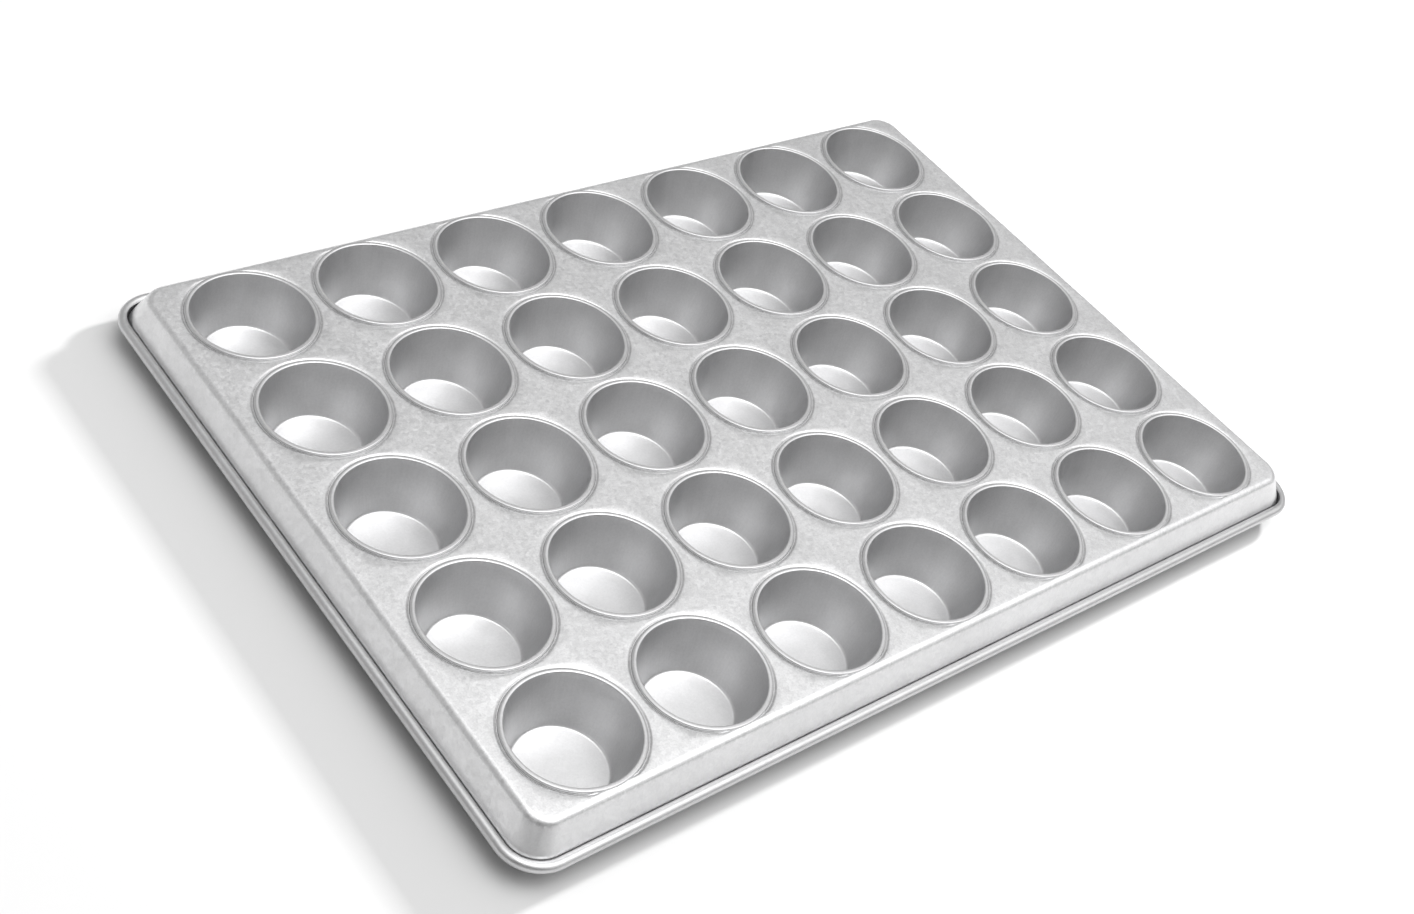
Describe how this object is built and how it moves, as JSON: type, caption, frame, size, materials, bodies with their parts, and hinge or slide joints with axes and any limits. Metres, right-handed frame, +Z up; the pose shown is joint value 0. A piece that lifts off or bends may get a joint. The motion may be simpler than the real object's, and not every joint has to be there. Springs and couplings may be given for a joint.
{
  "type": "muffin tin",
  "caption": "Full-size bakery muffin tin: round tapered cups crimped into a flat deck with a sloping skirt and a rolled, wired rim.",
  "frame": {"origin": "centre of the pan on the surface it rests on, under the middle cup's floor", "axes": "+X along the long side, +Y along the short side, +Z up, out of the cups"},
  "size_m": [0.654, 0.457, 0.0358],
  "materials": {
    "pan_sheet": "satin aluminised sheet with a fine mottled grain",
    "cup_sheet": "satin aluminised sheet, smooth where it is drawn",
    "rim_wire": "plain drawn wire"
  },
  "bodies": {
    "root": {"pan_frame": "pan_sheet", "rim_wire": "rim_wire", "cup_r1_c1": "cup_sheet", "cup_r1_c2": "cup_sheet", "cup_r1_c3": "cup_sheet", "cup_r1_c4": "cup_sheet", "cup_r1_c5": "cup_sheet", "cup_r1_c6": "cup_sheet", "cup_r1_c7": "cup_sheet", "cup_r2_c1": "cup_sheet", "cup_r2_c2": "cup_sheet", "cup_r2_c3": "cup_sheet", "cup_r2_c4": "cup_sheet", "cup_r2_c5": "cup_sheet", "cup_r2_c6": "cup_sheet", "cup_r2_c7": "cup_sheet", "cup_r3_c1": "cup_sheet", "cup_r3_c2": "cup_sheet", "cup_r3_c3": "cup_sheet", "cup_r3_c4": "cup_sheet", "cup_r3_c5": "cup_sheet", "cup_r3_c6": "cup_sheet", "cup_r3_c7": "cup_sheet", "cup_r4_c1": "cup_sheet", "cup_r4_c2": "cup_sheet", "cup_r4_c3": "cup_sheet", "cup_r4_c4": "cup_sheet", "cup_r4_c5": "cup_sheet", "cup_r4_c6": "cup_sheet", "cup_r4_c7": "cup_sheet", "cup_r5_c1": "cup_sheet", "cup_r5_c2": "cup_sheet", "cup_r5_c3": "cup_sheet", "cup_r5_c4": "cup_sheet", "cup_r5_c5": "cup_sheet", "cup_r5_c6": "cup_sheet", "cup_r5_c7": "cup_sheet"}
  },
  "joints": []
}
